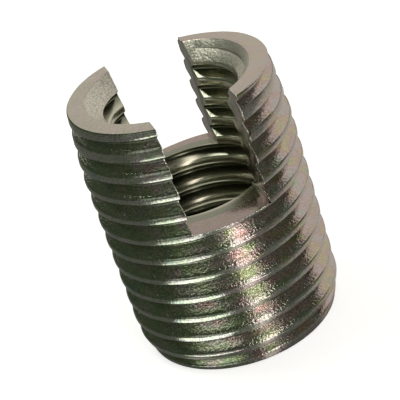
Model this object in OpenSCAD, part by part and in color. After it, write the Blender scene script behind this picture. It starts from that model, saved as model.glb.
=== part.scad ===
/* [Body] */
// Length of the insert
body_l = 18; // [14:0.5:26]
// Outer diameter over the external thread
body_d = 14; // [13:0.1:17]

/* [External thread] */
// Pitch of the external thread
ext_pitch = 1.5; // [1.1:0.05:2]
// Width of the flat on the external crests
ext_crest = 0.2; // [0.1:0.01:0.3]
// Radius of the rounded shoulders beside that flat
ext_shoulder = 0.38; // [0.3:0.01:0.42]
// Width of the flat at the bottom of the external groove
ext_root = 0.08; // [0.06:0.01:0.12]
// Full angle between the flanks of the external thread
ext_angle = 60; // [50:1:70]
// Angle at which the external groove starts
ext_start = 75; // [0:5:355]
// Length of the cutting taper at the slotted end
taper_l = 4.3; // [2:0.1:6]
// How far the taper closes in on the radius
taper_drop = 0.4; // [0.1:0.05:0.6]
// Length of the chamfer at the unslotted end
end_chamfer_l = 1.6; // [0.4:0.1:2.5]
// Radial width of the chamfer at the unslotted end
end_chamfer_w = 0.55; // [0.2:0.05:0.8]

/* [Internal thread] */
// Nominal diameter of the screw that the insert takes
screw_d = 10; // [9:0.1:10.4]
// Pitch of the internal thread
int_pitch = 1.5; // [1.1:0.05:2]
// Diameter of the bore, over the internal crests
bore_d = 8.5; // [8:0.1:9.2]
// Full angle between the flanks of the internal thread
int_angle = 60; // [50:1:66]
// Angle at which the internal groove starts
int_start = 130; // [0:5:355]
// Rim diameter of the countersink at the slotted end
sink_d = 10.8; // [10:0.1:11.4]
// Rim diameter of the countersink at the unslotted end
end_sink_d = 10.2; // [9.4:0.1:11]
// Full angle of both countersinks
sink_angle = 90; // [80:5:120]

/* [Slot] */
// Width of the cutting slot
slot_w = 5.2; // [3:0.1:6.4]
// Depth of the cutting slot
slot_depth = 7.4; // [4:0.1:9]

/* [Hidden] */
$fn = 96;
steps_per_turn = 30;
clear = 1;
body_r = body_d / 2;
bore_r = bore_d / 2;
screw_r = screw_d / 2;
sink_slope = tan(sink_angle / 2);
sink_depth = (sink_d - bore_d) / 2 / sink_slope;
end_sink_depth = (end_sink_d - bore_d) / 2 / sink_slope;
shoulder_steps = 2;
shoulder_drop = 0.02; // how far the shoulders end below the crests
ext_crest_turn = asin(ext_crest / 2 / ext_shoulder);
ext_flank_turn = 90 - ext_angle / 2;
ext_shoulder_r = body_r - shoulder_drop - ext_shoulder * cos(ext_crest_turn);
int_slope = tan(int_angle / 2);
int_root = int_pitch / 8;
int_opening = int_root + 2 * (screw_r - bore_r) * int_slope;
int_overcut = (int_pitch - int_opening) / 4 / int_slope;

// Upper half of the external groove's section, from its root to its mouth, as [radius, height from the middle].
// The shoulder is an arc about the middle of the land. From there the section goes straight out of the metal, and
// starts low enough for the chords of its turns to do so too.
function ext_half_section() =
    let (
        arc = [
            for (i = [0 : shoulder_steps])
                let (turn = ext_flank_turn + (ext_crest_turn - ext_flank_turn) * i / shoulder_steps)
                [ext_shoulder_r + ext_shoulder * cos(turn), ext_pitch / 2 - ext_shoulder * sin(turn)]
        ],
        root = arc[0][0] - (arc[0][1] - ext_root / 2) / tan(ext_angle / 2)
    )
    concat([[root, ext_root / 2]], arc, [[body_r + clear, (ext_pitch - ext_crest) / 2]]);

// Upper half of the internal groove's section, from its mouth to its root
function int_half_section() = [
    [bore_r - int_overcut, int_opening / 2 + int_overcut * int_slope],
    [screw_r, int_root / 2]
];

// A whole section, from the half above the groove's middle
function both_halves(half) =
    concat([for (i = [len(half) - 1 : -1 : 0]) [half[i][0], -half[i][1]]], half);

// A right-hand helical groove, as a solid to be cut away, that runs out past both ends
module helical_groove(section, pitch, start) {
    steps = ceil((body_l / pitch + 1) * steps_per_turn);
    corners = len(section);
    last = corners * steps;
    points = [
        for (i = [0 : steps], corner = section)
            let (turned = i / steps_per_turn - 0.5, angle = start + 360 * turned)
            [corner[0] * cos(angle), corner[0] * sin(angle), pitch * turned + corner[1]]
    ];
    sides = [
        for (i = [0 : steps - 1], k = [0 : corners - 1])
            let (a = corners * i + k, b = corners * i + (k + 1) % corners)
            each [[a, a + corners, b], [b, a + corners, b + corners]]
    ];
    first_end = [for (k = [0 : corners - 1]) k];
    last_end = [for (k = [corners - 1 : -1 : 0]) last + k];
    polyhedron(points = points, faces = concat(sides, [first_end, last_end]));
}

// The insert as turned, before its threads and slot are cut
module turned_blank() {
    rotate_extrude()
        polygon([
            [end_sink_d / 2, 0],
            [body_r - end_chamfer_w, 0],
            [body_r, end_chamfer_l],
            [body_r, body_l - taper_l],
            [body_r - taper_drop, body_l],
            [sink_d / 2, body_l],
            [bore_r, body_l - sink_depth],
            [bore_r, end_sink_depth]
        ]);
}

module external_groove() {
    helical_groove(both_halves(ext_half_section()), ext_pitch, ext_start);
}

module internal_groove() {
    helical_groove(both_halves(int_half_section()), int_pitch, int_start);
}

module cutting_slot() {
    translate([-slot_w / 2, -body_r - clear, body_l - slot_depth])
        cube([slot_w, body_d + 2 * clear, slot_depth + clear]);
}

module threaded_insert() {
    color("darkseagreen")
        difference() {
            turned_blank();
            external_groove();
            internal_groove();
            cutting_slot();
        }
}

threaded_insert();
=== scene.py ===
# Self-tapping threaded insert: a turned steel tube with a thread outside and one inside, slotted at its
# cutting end, zinc plated and chromated.
import math

import bmesh
import bpy
from mathutils import Matrix, Quaternion, Vector


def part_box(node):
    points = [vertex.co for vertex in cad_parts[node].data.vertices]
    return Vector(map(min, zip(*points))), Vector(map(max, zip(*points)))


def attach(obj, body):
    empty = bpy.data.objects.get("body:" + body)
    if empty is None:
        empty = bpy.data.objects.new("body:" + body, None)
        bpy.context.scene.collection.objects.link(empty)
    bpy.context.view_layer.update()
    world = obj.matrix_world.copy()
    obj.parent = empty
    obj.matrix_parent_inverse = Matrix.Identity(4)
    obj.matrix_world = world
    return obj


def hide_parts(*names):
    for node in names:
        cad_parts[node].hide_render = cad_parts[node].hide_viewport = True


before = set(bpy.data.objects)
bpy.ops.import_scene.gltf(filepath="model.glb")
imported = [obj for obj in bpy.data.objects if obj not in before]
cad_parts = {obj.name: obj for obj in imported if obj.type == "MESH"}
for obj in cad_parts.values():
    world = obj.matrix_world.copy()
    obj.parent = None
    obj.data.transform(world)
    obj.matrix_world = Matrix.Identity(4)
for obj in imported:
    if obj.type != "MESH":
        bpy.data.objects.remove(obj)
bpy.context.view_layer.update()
insertLow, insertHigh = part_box("threaded_insert")

millimetre = 0.001  # the metal is modelled in millimetres and scaled once at the end
samePlace = 0.001  # in millimetres: places nearer to each other than this count as one
squareOn = 0.999  # how much of a face's normal lies along the axis that it is square to
bodyRadius = (insertHigh.x - insertLow.x) / 2 / millimetre
bodyLength = (insertHigh.z - insertLow.z) / millimetre
print("frame loaded:", *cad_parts)
print("size:", round(bodyRadius * 2, 2), "mm across,", round(bodyLength, 2), "mm long")


# The camera looks down on the slotted end, and is rolled so that the insert leans to the left in the picture.
# Angles are in degrees and lengths in millimetres.
cameraView = {
    "azimuth": -9.77,
    "elevation": 28.37,
    "roll": -18.43,
    "distance": 99.11,
    "sideShift": -0.378,
    "aimHeight": 9.117,
    "lens": 136.5,
    "sensorWidth": 36,
    "nearest": 5,
    "farthest": 20000,
}


def placeCamera(view):
    azimuth, elevation, roll = (math.radians(view[name]) for name in ("azimuth", "elevation", "roll"))
    back = Vector((
        math.sin(azimuth) * math.cos(elevation),
        -math.cos(azimuth) * math.cos(elevation),
        math.sin(elevation),
    ))
    level = Vector((math.cos(azimuth), math.sin(azimuth), 0))
    upright = back.cross(level)
    right = level * math.cos(roll) + upright * math.sin(roll)
    up = upright * math.cos(roll) - level * math.sin(roll)
    place = level * view["sideShift"] + Vector((0, 0, view["aimHeight"])) + back * view["distance"]
    turned = Matrix((right, up, back)).transposed().to_4x4()
    bpy.ops.object.camera_add()
    camera = bpy.context.object
    camera.name = "photoCamera"
    camera.matrix_world = Matrix.Translation(place * millimetre) @ turned
    camera.data.lens = view["lens"]
    camera.data.sensor_width = view["sensorWidth"]
    camera.data.clip_start = view["nearest"] * millimetre
    camera.data.clip_end = view["farthest"] * millimetre
    bpy.context.scene.camera = camera


placeCamera(cameraView)
print("camera placed")


def deselectAll():
    if bpy.context.mode != "OBJECT":
        bpy.ops.object.mode_set(mode="OBJECT")
    for item in list(bpy.context.selected_objects):
        item.select_set(False)


def pickOnly(item):
    deselectAll()
    item.select_set(True)
    bpy.context.view_layer.objects.active = item


def applyModifier(item, kind, **settings):
    modifier = item.modifiers.new(kind.lower(), kind)
    for name, value in settings.items():
        setattr(modifier, name, value)
    pickOnly(item)
    bpy.ops.object.modifier_apply(modifier=modifier.name)


def selectWhere(item, kind, test):
    # in edit mode: selects the verts or the edges that pass the test, and nothing else
    mesh = bmesh.from_edit_mesh(item.data)
    for part in (*mesh.verts, *mesh.edges, *mesh.faces):
        part.select = False
    for part in getattr(mesh, kind):
        if test(part):
            part.select_set(True)
    bmesh.update_edit_mesh(item.data)


# The insert as turned, before its threads and slot are cut. All sizes are in millimetres.
insertBlank = {
    "chamferLength": 1.6,
    "chamferWidth": 0.55,
    "taperLength": 4.3,
    "taperDrop": 0.4,
    "boreDiameter": 8.5,
    "sinkDiameter": 10.8,
    "endSinkDiameter": 10.2,
    "rimRound": 0.13,  # on the outer edge of the slotted end
    "edgeRound": 0.04,  # on every other edge
    "roundSteps": 3,
    "stepsPerTurn": 144,
    "smoothUnder": 24,  # faces that meet at fewer degrees than this are shaded as one curve
}


def onRing(vertex, radius, height):
    return abs(vertex.co.xy.length - radius) < samePlace and abs(vertex.co.z - height) < samePlace


def turnBlank(size):
    bore = size["boreDiameter"] / 2
    sink = size["sinkDiameter"] / 2
    endSink = size["endSinkDiameter"] / 2
    outline = [
        (endSink, 0),
        (bodyRadius - size["chamferWidth"], 0),
        (bodyRadius, size["chamferLength"]),
        (bodyRadius, bodyLength - size["taperLength"]),
        (bodyRadius - size["taperDrop"], bodyLength),
        (sink, bodyLength),
        (bore, bodyLength - (sink - bore)),  # both countersinks are at 45 degrees
        (bore, endSink - bore),
    ]
    deselectAll()
    bpy.ops.mesh.primitive_circle_add(vertices=size["stepsPerTurn"], radius=outline[0][0])
    blank = bpy.context.object
    bpy.ops.object.mode_set(mode="EDIT")
    bpy.ops.mesh.select_all(action="SELECT")
    for (radius, height), (nextRadius, nextHeight) in zip(outline, outline[1:]):
        bpy.ops.mesh.extrude_region_move(TRANSFORM_OT_translate={"value": (0, 0, nextHeight - height)})
        grown = nextRadius / radius
        bpy.ops.transform.resize(value=(grown, grown, 1), center_override=(0, 0, nextHeight))
    selectWhere(blank, "edges", lambda edge: edge.is_boundary)
    bpy.ops.mesh.bridge_edge_loops()
    bpy.ops.mesh.select_all(action="SELECT")
    bpy.ops.mesh.normals_make_consistent(inside=False)
    for height, radius, rounding in (
        (bodyLength, bodyRadius - size["taperDrop"], size["rimRound"]),
        (bodyLength, sink, size["edgeRound"]),
        (0, bodyRadius - size["chamferWidth"], size["edgeRound"]),
        (0, endSink, size["edgeRound"]),
    ):
        selectWhere(blank, "edges", lambda edge: all(onRing(vertex, radius, height) for vertex in edge.verts))
        bpy.ops.mesh.bevel(offset=rounding, segments=size["roundSteps"], affect="EDGES")
    bpy.ops.object.mode_set(mode="OBJECT")
    return blank


# Each thread is cut by a groove's section that is wound up past both ends. Widths are along the axis.
externalThread = {
    "pitch": 1.5,
    "flankAngle": 60,
    "start": 75,  # degrees
    "rootWidth": 0.08,
    "rootRound": 0.03,
    "rootSteps": 3,
    "shoulderRadius": 0.38,  # the crests are rounded on both sides of a narrow flat
    "shoulderSteps": 6,
    "crestLift": 0.01,  # the flat is where the round stands over the turned surface
    "crestGap": 0.04,  # between one turn of the section and the next
}
internalThread = {
    "pitch": 1.5,
    "screwDiameter": 10,
    "flankAngle": 60,
    "start": 130,
    "rootWidth": 0.1875,  # an eighth of the pitch
    "rootRound": 0.06,
    "rootSteps": 4,
    "crestRound": 0.19,  # how far the rounding reaches along the crest
    "crestSteps": 6,
    "crestLift": 0.01,
    "crestGap": 0.04,
}


def drawSection(corners):
    # a face in the XZ plane, from [radius, height] corners
    deselectAll()
    bpy.ops.mesh.primitive_circle_add(vertices=len(corners), fill_type="NGON")
    section = bpy.context.object
    for vertex, (radius, height) in zip(section.data.vertices, corners):
        vertex.co = (radius, 0, height)
    return section


def roundCorners(section, atRadius, offset, segments, withinHeight):
    pickOnly(section)
    bpy.ops.object.mode_set(mode="EDIT")
    selectWhere(
        section, "verts",
        lambda vertex: abs(vertex.co.x - atRadius) < samePlace and abs(vertex.co.z) < withinHeight,
    )
    bpy.ops.mesh.bevel(offset=offset, segments=segments, affect="VERTICES")
    bpy.ops.object.mode_set(mode="OBJECT")


def windGroove(section, pitch, start, steps):
    pickOnly(section)
    section.location = (0, 0, -pitch)
    section.rotation_euler = (0, 0, math.radians(start))
    bpy.ops.object.transform_apply(location=True, rotation=True)
    turns = math.ceil(bodyLength / pitch) + 2  # one spare turn past each end
    applyModifier(
        section, "SCREW", axis="Z", angle=math.tau, screw_offset=pitch, iterations=turns,
        steps=steps, render_steps=steps, use_merge_vertices=False, use_smooth_shade=False,
    )
    bpy.ops.object.mode_set(mode="EDIT")
    selectWhere(section, "edges", lambda edge: edge.is_boundary)
    bpy.ops.mesh.edge_face_add()
    bpy.ops.mesh.select_all(action="SELECT")
    bpy.ops.mesh.normals_make_consistent(inside=False)
    bpy.ops.object.mode_set(mode="OBJECT")
    return section


def followOutline(tool, size, fromRadius):
    # where the outline closes in, the rounded shoulders slide down the flanks with it
    slope = math.tan(math.radians(size["flankAngle"] / 2))
    topStart = bodyLength - insertBlank["taperLength"]
    topRate = insertBlank["taperDrop"] / insertBlank["taperLength"]
    endStart = insertBlank["chamferLength"]
    endRate = insertBlank["chamferWidth"] / insertBlank["chamferLength"]
    pitch = size["pitch"]
    for vertex in tool.data.vertices:
        radius, height = vertex.co.xy.length, vertex.co.z
        if radius < fromRadius:
            continue
        turned = (math.atan2(vertex.co.y, vertex.co.x) - math.radians(size["start"])) / math.tau
        offset = (height - pitch * turned + pitch / 2) % pitch - pitch / 2
        side = math.copysign(slope, offset)
        drop = 0
        if height > topStart:
            drop = topRate * (height - topStart) / (1 + topRate * side)
        if height < endStart:
            drop = endRate * (endStart - height) / (1 - endRate * side)
        vertex.co.xy *= (radius - drop) / radius
        vertex.co.z -= side * drop


def windExternal(size, steps):
    slope = math.tan(math.radians(size["flankAngle"] / 2))
    half = size["pitch"] / 2
    crest = bodyRadius + size["crestLift"]
    tangent = size["shoulderRadius"] * slope
    mouth = half - tangent  # where the flank would meet the crest if it weren't rounded
    root = crest - (mouth - size["rootWidth"] / 2) / slope
    ledge = half - size["crestGap"] / 2
    upper = [(root, size["rootWidth"] / 2), (crest, mouth), (crest, ledge), (crest + half, ledge)]
    lower = [(radius, -height) for radius, height in reversed(upper)]
    section = drawSection(upper + lower)
    roundCorners(section, root, size["rootRound"], size["rootSteps"], half)
    roundCorners(section, crest, tangent - size["crestGap"], size["shoulderSteps"], ledge - samePlace)
    tool = windGroove(section, size["pitch"], size["start"], steps)
    followOutline(tool, size, bodyRadius - size["shoulderRadius"])
    return tool


def windInternal(size, bore, steps):
    slope = math.tan(math.radians(size["flankAngle"] / 2))
    half = size["pitch"] / 2
    screw = size["screwDiameter"] / 2
    crest = bore - size["crestLift"]
    root = size["rootWidth"] / 2
    mouth = root + (screw - crest) * slope
    ledge = half - size["crestGap"] / 2
    upper = [(crest - half, ledge), (crest, ledge), (crest, mouth), (screw, root)]
    lower = [(radius, -height) for radius, height in reversed(upper)]
    section = drawSection(upper + lower)
    roundCorners(section, screw, size["rootRound"], size["rootSteps"], half)
    roundCorners(section, crest, size["crestRound"], size["crestSteps"], ledge - samePlace)
    return windGroove(section, size["pitch"], size["start"], steps)


def cutAway(metal, tool):
    applyModifier(metal, "BOOLEAN", operation="DIFFERENCE", solver="EXACT", object=tool)
    bpy.data.objects.remove(tool)


# The slot of the cutting end goes straight through the wall on both sides.
cuttingSlot = {
    "width": 5.2,
    "depth": 7.4,
    "edgeStep": 0.04,  # points on its edges that lie nearer than this are merged first
    "edgeBreak": 0.055,
    "edgeSteps": 4,
}


def makeSlotTool(size):
    clear = 2
    height = size["depth"] + clear
    deselectAll()
    bpy.ops.mesh.primitive_cube_add(
        size=1,
        location=(0, 0, bodyLength - size["depth"] + height / 2),
        scale=(size["width"], (bodyRadius + clear) * 2, height),
    )
    tool = bpy.context.object
    bpy.ops.object.transform_apply(location=True, scale=True)
    return tool


def breakSlotEdges(metal, size):
    # the mill leaves a fine bright burr where the slot leaves the turned surfaces
    floor = bodyLength - size["depth"]
    wall = size["width"] / 2

    def milled(face):
        middle = face.calc_center_median()
        onWall = abs(abs(middle.x) - wall) < samePlace and abs(face.normal.x) > squareOn
        onFloor = abs(middle.z - floor) < samePlace and face.normal.z > squareOn
        return onWall or onFloor

    def slotRim(edge):
        return sum(milled(face) for face in edge.link_faces) == 1

    pickOnly(metal)
    bpy.ops.object.mode_set(mode="EDIT")
    selectWhere(metal, "edges", slotRim)
    bpy.ops.mesh.remove_doubles(threshold=size["edgeStep"])
    selectWhere(metal, "edges", slotRim)
    bpy.ops.mesh.bevel(
        offset=size["edgeBreak"], segments=size["edgeSteps"], affect="EDGES", clamp_overlap=False,
    )
    bpy.ops.object.mode_set(mode="OBJECT")


def cleanMesh(metal):
    pickOnly(metal)
    bpy.ops.object.mode_set(mode="EDIT")
    bpy.ops.mesh.select_all(action="SELECT")
    bpy.ops.mesh.remove_doubles(threshold=samePlace / 2)
    bpy.ops.mesh.dissolve_degenerate(threshold=samePlace / 2)
    bpy.ops.mesh.normals_make_consistent(inside=False)
    bpy.ops.object.mode_set(mode="OBJECT")


def makeInsert():
    bore = insertBlank["boreDiameter"] / 2
    steps = insertBlank["stepsPerTurn"]
    metal = turnBlank(insertBlank)
    print("blank turned")
    cutAway(metal, windExternal(externalThread, steps))
    print("external thread cut")
    cutAway(metal, windInternal(internalThread, bore, steps))
    print("internal thread cut")
    cutAway(metal, makeSlotTool(cuttingSlot))
    cleanMesh(metal)
    breakSlotEdges(metal, cuttingSlot)
    cleanMesh(metal)
    print("slot cut")
    metal.name = "threadedInsertBody"
    metal.data.transform(Matrix.Scale(millimetre, 4))
    pickOnly(metal)
    bpy.ops.object.shade_smooth_by_angle(angle=math.radians(insertBlank["smoothUnder"]))
    return metal


insert = makeInsert()
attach(insert, "root")
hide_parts("threaded_insert")
print("insert made:", len(insert.data.polygons), "faces")


def linearColour(hexText):
    channels = [int(hexText[i:i + 2], 16) / 255 for i in (1, 3, 5)]
    return (*[c / 12.92 if c <= 0.04045 else ((c + 0.055) / 1.055) ** 2.4 for c in channels], 1)


def addNode(tree, kind, settings=None, links=None):
    # A setting is an input's name or number or a property's name, and a link is an input's name or number.
    # A Mix node's sockets share their names, so they go by number: a share is 0, two numbers are 2 and 3,
    # two colours are 6 and 7, and the outputs are 0 for a number and 2 for a colour.
    node = tree.nodes.new(kind)
    for name, value in (settings or {}).items():
        if isinstance(name, int) or name in node.inputs:
            node.inputs[name].default_value = value
        else:
            setattr(node, name, value)
    for name, output in (links or {}).items():
        tree.links.new(output, node.inputs[name])
    return node


def emptyTree(owner):
    owner.use_nodes = True
    owner.node_tree.nodes.clear()
    return owner.node_tree


def setRamp(node, stops):
    ramp = node.color_ramp
    while len(ramp.elements) < len(stops):
        ramp.elements.new(0.5)
    for element, (place, hexText) in zip(ramp.elements, stops):
        element.position = place
        element.color = linearColour(hexText)


# Zinc plated steel under an iridescent chromate film: a pale grey metal that turns greenish, pink or straw
# with the film's thickness. The cut flanks are finely pitted and sparkle, and the lands show the lathe's
# lines. All sizes are in millimetres. Specks and pits are drawn coarser than real ones, so that they show.
zincFinish = {
    "film": (
        (0.14, "#a6b9ae"), (0.28, "#b0bca2"), (0.39, "#bcc1aa"), (0.48, "#c4c4bc"), (0.57, "#cbbebb"),
        (0.66, "#c8b6ae"), (0.74, "#cdc2a4"), (0.82, "#b9c2aa"), (0.9, "#c9b8b1"),
    ),
    "filmMiddle": 0.5,
    "filmAcross": 0.17,  # how much the film's thickness changes from the middle to the side that faces +X
    "filmPatch": (1.5, 0.7),  # along the thread and across it
    "filmPatchDepth": 0.95,
    "filmOnLands": 0.8,
    "landFade": (0.1, 0.02),  # how deep under the turned outline the lands end and begin
    "landTint": "#cfcfc6",
    "squareness": (0.97, 0.99),  # how square a face is: below the first a broken edge, above the second flat
    "flatShare": 0.7,  # how far the tints of the flat faces cover the film
    "faceTint": "#cac0b3",  # the turned face of the slotted end
    "millTint": "#a8938c",  # the milled floor of the slot
    "millReach": 0.1,
    "rimMargins": (0.02, 0.1),  # inside and outside the countersink's rim
    "sinkFade": 0.1,
    "sinkTint": "#ece9dc",
    # painted light and shade in the bore: its crests are tinted paler and its grooves darker
    "boreCrestLitTint": "#dfdfca",
    "boreGrooveShadeTint": "#999c8a",
    "boreGrooveShadeFade": (0.1, 0.5),  # over the crests' radius
    "boreShade": 0.5,  # painted shade: the colour is darker deep in the bore, on the side that faces -X
    "boreShadeDepth": (0.2, 1.4),  # under the slot's floor, where the shade begins and is full
    "boreShadeSide": (1.6, -0.8),  # the same, on X
    "speckle": 0.13,
    "speckleShare": (0.3, 0.7),  # the noise that gives the darkest and the lightest speck
    "speckleDepth": (0.7, 1.25),
    "smoothSide": (2.5, 6),  # the plating gets smoother from here to here on X
    "smoothGrain": 0.25,
    "pitWidth": 0.15,
    "pitShare": (0.36, 0.64),  # the noise at which a pit begins and is full
    "flankPitDepth": 0.006,
    "landPitDepth": 0.004,
    "sinkPitDepth": 0.009,
    # painted highlight: a near-white tint on the slot's broken edges, over the burr's real relief
    "burrHighlightTint": "#f4f4ee",
    "burrDepth": 0.05,
    "burrAndHighlightWidth": 0.07,
    "toolLine": 0.11,
    "toolLineDepth": 0.014,
    "taperFade": (-0.5, 0.8),  # round the taper's start, where the lines come to run over the flanks too
    "flankRoughness": 0.14,
    "landRoughness": 0.15,
    "boreRoughness": 0.22,
    "sinkRoughness": 0.42,
}


def markSurfaces(tree, look):
    # places in millimetres, and a share from 0 to 1 for each surface of the insert
    onPiece = addNode(tree, "ShaderNodeTexCoord")
    place = addNode(
        tree, "ShaderNodeVectorMath", {"operation": "SCALE", "Scale": 1 / millimetre},
        {0: onPiece.outputs["Object"]},
    ).outputs["Vector"]
    parts = addNode(tree, "ShaderNodeSeparateXYZ", {}, {0: place})
    acrossX, alongZ = parts.outputs["X"], parts.outputs["Z"]
    level = addNode(tree, "ShaderNodeVectorMath", {"operation": "MULTIPLY", 1: (1, 1, 0)}, {0: place})
    radius = addNode(
        tree, "ShaderNodeVectorMath", {"operation": "LENGTH"}, {0: level.outputs["Vector"]},
    ).outputs["Value"]

    # the lands lie on the turned outline, and the cut flanks under it
    taperStart = bodyLength - insertBlank["taperLength"]
    outline = addNode(
        tree, "ShaderNodeMapRange",
        {
            "From Min": taperStart, "From Max": bodyLength,
            "To Min": bodyRadius, "To Max": bodyRadius - insertBlank["taperDrop"],
        },
        {"Value": alongZ},
    ).outputs["Result"]
    below = addNode(tree, "ShaderNodeMath", {"operation": "SUBTRACT"}, {0: outline, 1: radius}).outputs[0]
    landEnd, landStart = look["landFade"]
    land = addNode(
        tree, "ShaderNodeMapRange",
        {"interpolation_type": "SMOOTHSTEP", "From Min": landEnd, "From Max": landStart}, {"Value": below},
    ).outputs["Result"]

    # what lies inside the countersink's rim is the countersink or the bore
    boreRadius, sinkRadius = insertBlank["boreDiameter"] / 2, insertBlank["sinkDiameter"] / 2
    sinkBottom = bodyLength - (sinkRadius - boreRadius)
    innerMargin, outerMargin = look["rimMargins"]
    inside = addNode(
        tree, "ShaderNodeMath", {"operation": "LESS_THAN", 1: sinkRadius - innerMargin}, {0: radius},
    ).outputs[0]
    outside = addNode(
        tree, "ShaderNodeMath", {"operation": "GREATER_THAN", 1: sinkRadius + outerMargin}, {0: radius},
    ).outputs[0]
    atSink = addNode(
        tree, "ShaderNodeMapRange",
        {"From Min": sinkBottom - look["sinkFade"], "From Max": sinkBottom + look["sinkFade"]},
        {"Value": alongZ},
    ).outputs["Result"]
    sink = addNode(tree, "ShaderNodeMath", {"operation": "MULTIPLY"}, {0: inside, 1: atSink}).outputs[0]
    bore = addNode(
        tree, "ShaderNodeMath", {"operation": "SUBTRACT", "use_clamp": True}, {0: inside, 1: sink},
    ).outputs[0]
    # painted shade: the bore darkens from its crests into its grooves
    crestEnd, grooveStart = look["boreGrooveShadeFade"]
    boreGrooveShade = addNode(
        tree, "ShaderNodeMapRange", {"From Min": boreRadius + crestEnd, "From Max": boreRadius + grooveStart},
        {"Value": radius},
    ).outputs["Result"]

    # flat faces look straight up: the end that was turned and the floor that was milled
    slotWall, slotFloor = cuttingSlot["width"] / 2, bodyLength - cuttingSlot["depth"]
    facing = addNode(tree, "ShaderNodeSeparateXYZ", {}, {0: onPiece.outputs["Normal"]}).outputs
    edgeUnder, flatFrom = look["squareness"]
    flat = addNode(
        tree, "ShaderNodeMapRange",
        {"From Min": edgeUnder, "From Max": flatFrom, "To Max": look["flatShare"]}, {"Value": facing["Z"]},
    ).outputs["Result"]
    atFloor = addNode(
        tree, "ShaderNodeMath", {"operation": "LESS_THAN", 1: slotFloor + look["millReach"]}, {0: alongZ},
    ).outputs[0]

    # the burr lies on the broken edges of the slot's walls and floor, on the outside of the insert, and a
    # painted highlight lies there with it
    sideways = addNode(tree, "ShaderNodeMath", {"operation": "ABSOLUTE"}, {0: acrossX}).outputs[0]
    nearWall = addNode(
        tree, "ShaderNodeMath", {"operation": "COMPARE", 1: slotWall, 2: look["burrAndHighlightWidth"]}, {0: sideways},
    ).outputs[0]
    overFloor = addNode(
        tree, "ShaderNodeMath", {"operation": "GREATER_THAN", 1: slotFloor}, {0: alongZ},
    ).outputs[0]
    nearFloor = addNode(
        tree, "ShaderNodeMath", {"operation": "COMPARE", 1: slotFloor, 2: look["burrAndHighlightWidth"]}, {0: alongZ},
    ).outputs[0]
    betweenWalls = addNode(
        tree, "ShaderNodeMath", {"operation": "LESS_THAN", 1: slotWall}, {0: sideways},
    ).outputs[0]
    wallEdge = addNode(tree, "ShaderNodeMath", {"operation": "MULTIPLY"}, {0: nearWall, 1: overFloor})
    floorEdge = addNode(tree, "ShaderNodeMath", {"operation": "MULTIPLY"}, {0: nearFloor, 1: betweenWalls})
    slotEdge = addNode(
        tree, "ShaderNodeMath", {"operation": "MAXIMUM"}, {0: wallEdge.outputs[0], 1: floorEdge.outputs[0]},
    ).outputs[0]
    facingSide = addNode(tree, "ShaderNodeMath", {"operation": "ABSOLUTE"}, {0: facing["X"]}).outputs[0]
    square = addNode(
        tree, "ShaderNodeMath", {"operation": "MAXIMUM"}, {0: facing["Z"], 1: facingSide},
    ).outputs[0]
    broken = addNode(tree, "ShaderNodeMath", {"operation": "LESS_THAN", 1: edgeUnder}, {0: square}).outputs[0]
    burrAndHighlight = slotEdge
    for share in (outside, broken):
        burrAndHighlight = addNode(tree, "ShaderNodeMath", {"operation": "MULTIPLY"}, {0: burrAndHighlight, 1: share}).outputs[0]

    # how much of the specks and pits shows: less on the smooth side and on flat faces, nothing in the bore
    smoothStart, smoothEnd = look["smoothSide"]
    sideGrain = addNode(
        tree, "ShaderNodeMapRange",
        {
            "interpolation_type": "SMOOTHSTEP", "From Min": smoothStart, "From Max": smoothEnd,
            "To Min": 1, "To Max": look["smoothGrain"],
        },
        {"Value": acrossX},
    ).outputs["Result"]
    even = addNode(tree, "ShaderNodeMath", {"operation": "MAXIMUM"}, {0: bore, 1: flat}).outputs[0]
    grain = addNode(
        tree, "ShaderNodeMath", {"operation": "SUBTRACT", "use_clamp": True}, {0: sideGrain, 1: even},
    ).outputs[0]
    return {
        "place": place, "acrossX": acrossX, "alongZ": alongZ, "outside": outside, "land": land,
        "flat": flat, "atFloor": atFloor, "sink": sink, "bore": bore, "boreGrooveShade": boreGrooveShade,
        "burrAndHighlight": burrAndHighlight, "grain": grain,
    }


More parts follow.
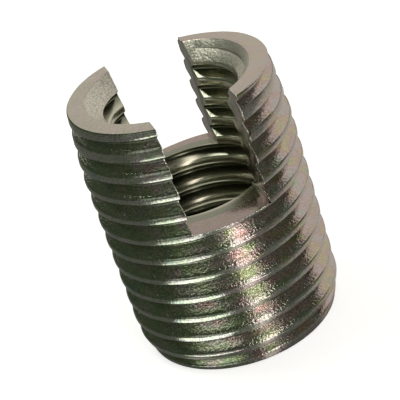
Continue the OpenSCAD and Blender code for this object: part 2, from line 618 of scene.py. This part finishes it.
def tintFilm(tree, look, at):
    # the film's thickness changes across the insert and from patch to patch, and its colour with it
    patchLong, patchHigh = look["filmPatch"]
    drawn = addNode(
        tree, "ShaderNodeVectorMath",
        {"operation": "MULTIPLY", 1: (1 / patchLong, 1 / patchLong, 1 / patchHigh)}, {0: at["place"]},
    ).outputs["Vector"]
    patch = addNode(
        tree, "ShaderNodeTexNoise", {"Scale": 1, "Detail": 1.5, "Roughness": 0.5}, {"Vector": drawn},
    ).outputs["Fac"]
    patchy = addNode(
        tree, "ShaderNodeMath",
        {"operation": "MULTIPLY_ADD", 1: look["filmPatchDepth"], 2: -look["filmPatchDepth"] / 2}, {0: patch},
    ).outputs[0]
    sloping = addNode(
        tree, "ShaderNodeMath",
        {"operation": "MULTIPLY_ADD", 1: look["filmAcross"] / bodyRadius, 2: look["filmMiddle"]},
        {0: at["acrossX"]},
    ).outputs[0]
    thickness = addNode(tree, "ShaderNodeMath", {"operation": "ADD"}, {0: sloping, 1: patchy}).outputs[0]
    film = addNode(tree, "ShaderNodeValToRGB", {}, {"Fac": thickness})
    setRamp(film, look["film"])

    # the lands and the flat faces show less of it
    worn = addNode(
        tree, "ShaderNodeMath", {"operation": "MULTIPLY", 1: 1 - look["filmOnLands"]}, {0: at["land"]},
    ).outputs[0]
    onLands = addNode(
        tree, "ShaderNodeMix", {"data_type": "RGBA", 7: linearColour(look["landTint"])},
        {0: worn, 6: film.outputs["Color"]},
    ).outputs[2]
    flatTints = {6: linearColour(look["faceTint"]), 7: linearColour(look["millTint"])}
    flatTint = addNode(
        tree, "ShaderNodeMix", {"data_type": "RGBA", **flatTints}, {0: at["atFloor"]},
    ).outputs[2]
    outsideTint = addNode(
        tree, "ShaderNodeMix", {"data_type": "RGBA"}, {0: at["flat"], 6: onLands, 7: flatTint},
    ).outputs[2]

    # painted light and shade: the bore's crests are tinted paler and its groove darker, and it is darker deep
    # on its side that faces -X
    boreTintsAndShade = {6: linearColour(look["boreCrestLitTint"]), 7: linearColour(look["boreGrooveShadeTint"])}
    boreTintAndShade = addNode(
        tree, "ShaderNodeMix", {"data_type": "RGBA", **boreTintsAndShade}, {0: at["boreGrooveShade"]},
    ).outputs[2]
    slotFloor = bodyLength - cuttingSlot["depth"]
    shadeStart, shadeEnd = (slotFloor - depth for depth in look["boreShadeDepth"])
    deep = addNode(
        tree, "ShaderNodeMapRange",
        {"interpolation_type": "SMOOTHSTEP", "From Min": shadeStart, "From Max": shadeEnd},
        {"Value": at["alongZ"]},
    ).outputs["Result"]
    shadeStart, shadeEnd = look["boreShadeSide"]
    shadedSide = addNode(
        tree, "ShaderNodeMapRange",
        {"interpolation_type": "SMOOTHSTEP", "From Min": shadeStart, "From Max": shadeEnd},
        {"Value": at["acrossX"]},
    ).outputs["Result"]
    shade = addNode(tree, "ShaderNodeMath", {"operation": "MULTIPLY"}, {0: deep, 1: shadedSide}).outputs[0]
    shadeScale = addNode(
        tree, "ShaderNodeMapRange", {"To Min": 1, "To Max": look["boreShade"]}, {"Value": shade},
    ).outputs["Result"]
    shadedBore = addNode(
        tree, "ShaderNodeVectorMath", {"operation": "SCALE"}, {0: boreTintAndShade, "Scale": shadeScale},
    ).outputs["Vector"]
    colour = addNode(
        tree, "ShaderNodeMix", {"data_type": "RGBA"}, {0: at["bore"], 6: outsideTint, 7: shadedBore},
    ).outputs[2]
    # the countersink's own tint, then a painted highlight on the slot's broken edges
    for share, tint in ((at["sink"], look["sinkTint"]), (at["burrAndHighlight"], look["burrHighlightTint"])):
        colour = addNode(
            tree, "ShaderNodeMix", {"data_type": "RGBA", 7: linearColour(tint)}, {0: share, 6: colour},
        ).outputs[2]

    # fine specks, lighter and darker
    noise = addNode(
        tree, "ShaderNodeTexNoise", {"Scale": 1 / look["speckle"], "Detail": 1, "Roughness": 0.6},
        {"Vector": at["place"]},
    ).outputs["Fac"]
    fromNoise, toNoise = look["speckleShare"]
    darkest, lightest = look["speckleDepth"]
    speck = addNode(
        tree, "ShaderNodeMapRange",
        {"From Min": fromNoise, "From Max": toNoise, "To Min": darkest, "To Max": lightest}, {"Value": noise},
    ).outputs["Result"]
    brightness = addNode(
        tree, "ShaderNodeMix", {"data_type": "FLOAT", 2: 1}, {0: at["grain"], 3: speck},
    ).outputs[0]
    return addNode(
        tree, "ShaderNodeVectorMath", {"operation": "SCALE"}, {0: colour, "Scale": brightness},
    ).outputs["Vector"]


def raiseRelief(tree, look, at):
    # fine pits, deeper in the countersink, and the torn metal of the burr
    noise = addNode(
        tree, "ShaderNodeTexNoise", {"Scale": 1 / look["pitWidth"], "Detail": 1, "Roughness": 0.6},
        {"Vector": at["place"]},
    ).outputs["Fac"]
    pitStart, pitEnd = look["pitShare"]
    pits = addNode(
        tree, "ShaderNodeMapRange",
        {"interpolation_type": "SMOOTHSTEP", "From Min": pitStart, "From Max": pitEnd}, {"Value": noise},
    ).outputs["Result"]
    smooth = addNode(
        tree, "ShaderNodeMath", {"operation": "MAXIMUM"}, {0: at["land"], 1: at["bore"]},
    ).outputs[0]
    pitDepth = addNode(
        tree, "ShaderNodeMapRange", {"To Min": look["flankPitDepth"], "To Max": look["landPitDepth"]},
        {"Value": smooth},
    ).outputs["Result"]
    deeper = addNode(
        tree, "ShaderNodeMath", {"operation": "MULTIPLY_ADD", 1: look["sinkPitDepth"]},
        {0: at["sink"], 2: pitDepth},
    ).outputs[0]
    softened = addNode(
        tree, "ShaderNodeMath", {"operation": "MULTIPLY"}, {0: deeper, 1: at["grain"]},
    ).outputs[0]
    torn = addNode(
        tree, "ShaderNodeMath", {"operation": "MULTIPLY_ADD", 1: look["burrDepth"]},
        {0: at["burrAndHighlight"], 2: softened},
    ).outputs[0]
    pitHeight = addNode(tree, "ShaderNodeMath", {"operation": "MULTIPLY"}, {0: pits, 1: torn}).outputs[0]

    # the lathe's lines run round the lands, and where the insert tapers over the flanks too
    lines = addNode(
        tree, "ShaderNodeTexNoise",
        {"noise_dimensions": "1D", "Scale": 1 / look["toolLine"], "Detail": 2, "Roughness": 0.7},
        {"W": at["alongZ"]},
    ).outputs["Fac"]
    lineDepth = addNode(
        tree, "ShaderNodeMath", {"operation": "MULTIPLY", 1: look["toolLineDepth"]}, {0: lines},
    ).outputs[0]
    fadeStart, fadeEnd = (bodyLength - insertBlank["taperLength"] + reach for reach in look["taperFade"])
    tapered = addNode(
        tree, "ShaderNodeMapRange", {"From Min": fadeStart, "From Max": fadeEnd}, {"Value": at["alongZ"]},
    ).outputs["Result"]
    outerTaper = addNode(
        tree, "ShaderNodeMath", {"operation": "MULTIPLY"}, {0: tapered, 1: at["outside"]},
    ).outputs[0]
    lined = addNode(
        tree, "ShaderNodeMath", {"operation": "MAXIMUM"}, {0: outerTaper, 1: at["land"]},
    ).outputs[0]
    lineHeight = addNode(
        tree, "ShaderNodeMath", {"operation": "MULTIPLY"}, {0: lineDepth, 1: lined},
    ).outputs[0]
    height = addNode(tree, "ShaderNodeMath", {"operation": "ADD"}, {0: pitHeight, 1: lineHeight}).outputs[0]
    relief = addNode(tree, "ShaderNodeBump", {"Strength": 1, "Distance": millimetre}, {"Height": height})
    return relief.outputs["Normal"]


def spreadRoughness(tree, look, at):
    roughness = addNode(
        tree, "ShaderNodeMapRange", {"To Min": look["flankRoughness"], "To Max": look["landRoughness"]},
        {"Value": at["land"]},
    ).outputs["Result"]
    for share, value in ((at["bore"], look["boreRoughness"]), (at["sink"], look["sinkRoughness"])):
        roughness = addNode(
            tree, "ShaderNodeMix", {"data_type": "FLOAT", 3: value}, {0: share, 2: roughness},
        ).outputs[0]
    return roughness


def makeChromatedZinc(look):
    material = bpy.data.materials.new("chromatedZincPlate")
    tree = emptyTree(material)
    at = markSurfaces(tree, look)
    shader = addNode(
        tree, "ShaderNodeBsdfPrincipled", {"Metallic": 1},
        {
            "Base Color": tintFilm(tree, look, at),
            "Roughness": spreadRoughness(tree, look, at),
            "Normal": raiseRelief(tree, look, at),
        },
    )
    addNode(tree, "ShaderNodeOutputMaterial", {}, {"Surface": shader.outputs["BSDF"]})
    return material


insert.data.materials.clear()
insert.data.materials.append(makeChromatedZinc(zincFinish))
print("finish made")


# A polished white sheet under the insert: white to the camera and a mirror to the metal, with painted shade
# on the mirror behind the insert.
studio = {
    "floorColour": "#e6e6e4",
    "floorSize": 3.0,  # metres
    "floorWhite": 0.75,  # how much white the sheet adds for the camera
    "floorWhiteInMetal": 0.06,  # and for the metal
    "floorMirror": 0.85,
    "floorMirrorColour": "#a8a8a6",
    "floorMirrorRoughness": 0.12,
    # painted shade on the mirror, on the side of the sheet behind the insert
    "floorShadeTowards": (-0.77, 0.64, 0),
    "floorShadeColour": "#686a64",
    "floorShadeFade": 8,  # millimetres
    "roomColour": "#444a3e",
}


def makeFloor(look):
    deselectAll()
    bpy.ops.mesh.primitive_plane_add(size=look["floorSize"], location=(0, 0, 0))
    floor = bpy.context.object
    floor.name = "studioFloor"
    material = bpy.data.materials.new("polishedWhiteSheet")
    tree = emptyTree(material)
    rays = addNode(tree, "ShaderNodeLightPath").outputs
    matt = addNode(tree, "ShaderNodeBsdfDiffuse", {"Color": linearColour(look["floorColour"])}).outputs[0]
    place = addNode(tree, "ShaderNodeTexCoord").outputs["Object"]
    # painted shade: the mirror's colour darkens on the side of the sheet behind the insert
    behind = addNode(
        tree, "ShaderNodeVectorMath", {"operation": "DOT_PRODUCT", 1: look["floorShadeTowards"]}, {0: place},
    ).outputs["Value"]
    paintedShade = addNode(
        tree, "ShaderNodeMapRange", {"From Min": 0, "From Max": look["floorShadeFade"] * millimetre},
        {"Value": behind},
    ).outputs["Result"]
    mirrorColours = {6: linearColour(look["floorMirrorColour"]), 7: linearColour(look["floorShadeColour"])}
    mirrorColour = addNode(
        tree, "ShaderNodeMix", {"data_type": "RGBA", **mirrorColours}, {0: paintedShade},
    ).outputs[2]
    mirror = addNode(
        tree, "ShaderNodeBsdfAnisotropic", {"Roughness": look["floorMirrorRoughness"]},
        {"Color": mirrorColour},
    ).outputs[0]
    share = addNode(
        tree, "ShaderNodeMath", {"operation": "MULTIPLY", 1: look["floorMirror"]}, {0: rays["Is Glossy Ray"]},
    ).outputs[0]
    sheet = addNode(tree, "ShaderNodeMixShader", {}, {0: share, 1: matt, 2: mirror}).outputs[0]
    seen = addNode(
        tree, "ShaderNodeMath", {"operation": "MULTIPLY", 1: look["floorWhite"]}, {0: rays["Is Camera Ray"]},
    ).outputs[0]
    mirrored = addNode(
        tree, "ShaderNodeMath", {"operation": "MULTIPLY_ADD", 1: look["floorWhiteInMetal"]},
        {0: rays["Is Glossy Ray"], 2: seen},
    ).outputs[0]
    white = addNode(tree, "ShaderNodeEmission", {"Color": (1, 1, 1, 1)}, {"Strength": mirrored}).outputs[0]
    both = addNode(tree, "ShaderNodeAddShader", {}, {0: sheet, 1: white}).outputs[0]
    addNode(tree, "ShaderNodeOutputMaterial", {}, {"Surface": both})
    floor.data.materials.append(material)


def makeRoom(look):
    world = bpy.data.worlds.new("studioRoom")
    bpy.context.scene.world = world
    tree = emptyTree(world)
    rays = addNode(tree, "ShaderNodeLightPath").outputs
    dim = addNode(tree, "ShaderNodeBackground", {"Color": linearColour(look["roomColour"])}).outputs[0]
    white = addNode(tree, "ShaderNodeBackground", {"Color": (1, 1, 1, 1)}).outputs[0]
    mixed = addNode(
        tree, "ShaderNodeMixShader", {}, {0: rays["Is Camera Ray"], 1: dim, 2: white},
    ).outputs[0]
    addNode(tree, "ShaderNodeOutputWorld", {}, {"Surface": mixed})


# Each softbox faces the insert from an azimuth and an elevation, in degrees, hangs so many metres away,
# and spans so many degrees of the insert's view.
softboxes = {
    "frontStrip": {
        "azimuth": -81, "elevation": 47, "roll": -7, "away": 0.6, "span": (11, 88),
        "glow": 2.4, "colour": "#fff2ee",
    },
    "leftSoftbox": {
        "azimuth": -146, "elevation": 25, "roll": 0, "away": 0.6, "span": (34, 34),
        "glow": 0.36, "colour": "#fbfff8",
    },
    "frontFill": {
        "azimuth": -68, "elevation": 22, "roll": 0, "away": 0.9, "span": (100, 60),
        "glow": 0.06, "colour": "#f4fff0",
    },
    "backSoftbox": {
        "azimuth": 53, "elevation": 27, "roll": 0, "away": 0.7, "span": (104, 54),
        "glow": 0.58, "colour": "#fff6f2",
    },
    "boreSoftbox": {
        "azimuth": 133, "elevation": 69, "roll": 0, "away": 0.6, "span": (15, 22),
        "glow": 5, "colour": "#fcfef2",
    },
}

# Panels that lie just over the sheet and shine up at the insert. Places and sizes are in millimetres.
panelLift = 0.1
panels = {
    "borePanel": {
        "centre": (0, 0), "turn": 0, "size": (8, 8), "shape": "ELLIPSE",
        "glow": 0.4, "colour": "#fffdf0",
    },
    "leftPanel": {
        "centre": (-13, -13.5), "turn": 46, "size": (22, 13), "shape": "ELLIPSE",
        "glow": 1.8, "colour": "#fbfff8",
    },
    "frontPanel": {
        "centre": (12, -74), "turn": -81, "size": (78, 16), "shape": "RECTANGLE",
        "glow": 6, "colour": "#fff2ee",
    },
    "nearPanel": {
        "centre": (3.3, -21), "turn": -81, "size": (20, 5), "shape": "RECTANGLE",
        "glow": 0.2, "colour": "#fff2ee",
    },
    "rightPanel": {
        "centre": (32, 18), "turn": 0, "size": (50, 60), "shape": "RECTANGLE",
        "glow": 0.2, "colour": "#fffaf2",
    },
}


def addLamp(name, look, place, turn, size, shape):
    # glow is how bright the lamp's face looks, so its power follows from its area
    wide, tall = size
    area = wide * tall * (math.pi / 4 if shape == "ELLIPSE" else 1)
    bpy.ops.object.light_add(type="AREA", location=place)
    lamp = bpy.context.object
    lamp.name = name
    lamp.rotation_euler = turn
    lamp.data.shape = shape
    lamp.data.size, lamp.data.size_y = wide, tall
    lamp.data.color = linearColour(look["colour"])[:3]
    lamp.data.energy = look["glow"] * area * math.pi
    lamp.visible_camera = False


def hangSoftbox(name, look):
    azimuth, elevation = math.radians(look["azimuth"]), math.radians(look["elevation"])
    direction = Vector((
        math.cos(azimuth) * math.cos(elevation),
        math.sin(azimuth) * math.cos(elevation),
        math.sin(elevation),
    ))
    size = [2 * look["away"] * math.tan(math.radians(angle / 2)) for angle in look["span"]]
    facing = direction.to_track_quat("Z", "Y") @ Quaternion((0, 0, 1), math.radians(look["roll"]))
    addLamp(name, look, direction * look["away"], facing.to_euler(), size, "RECTANGLE")


def layPanel(name, look):
    place = Vector((*look["centre"], panelLift)) * millimetre
    size = [side * millimetre for side in look["size"]]
    addLamp(name, look, place, (math.pi, 0, math.radians(look["turn"])), size, look["shape"])


makeFloor(studio)
makeRoom(studio)
for lampName, lampLook in softboxes.items():
    hangSoftbox(lampName, lampLook)
for lampName, lampLook in panels.items():
    layPanel(lampName, lampLook)
bpy.context.scene.view_settings.view_transform = "Standard"
print("studio lit")
